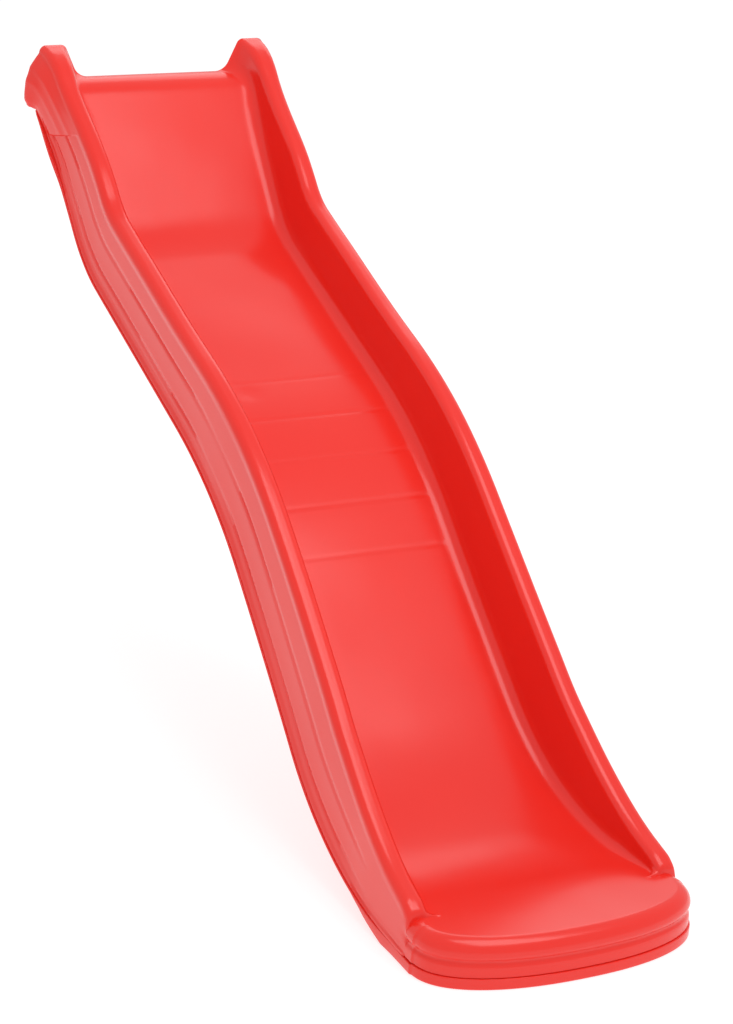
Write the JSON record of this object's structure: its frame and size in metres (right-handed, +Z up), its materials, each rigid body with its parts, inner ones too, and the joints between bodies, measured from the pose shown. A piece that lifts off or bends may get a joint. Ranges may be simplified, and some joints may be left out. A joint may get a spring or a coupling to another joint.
{
  "type": "playground wave slide",
  "caption": "Long twin-skin plastic playground slide with a wave in its bed, rolled side rails, flared ears at the deck end and a rounded exit nose on a foot.",
  "frame": {"origin": "on the ground, under the middle of the slide's length and width", "axes": "+X across the slide, +Y back towards the deck it hangs on, +Z up"},
  "size_m": [0.5942, 1.9946, 1.27],
  "materials": {
    "shell": "glossy red moulded polyethylene",
    "insert": "turned brass",
    "plug": "red polyethylene, slightly matt"
  },
  "bodies": {
    "root": {"upper_skin": "shell", "under_skin": "shell", "deck_insert_1": "insert", "deck_insert_2": "insert", "deck_insert_3": "insert", "deck_insert_4": "insert", "ground_insert_left": "insert", "ground_insert_right": "insert", "blow_hole_plug_upper": "plug", "blow_hole_plug_middle": "plug", "blow_hole_plug_lower": "plug"}
  },
  "joints": []
}
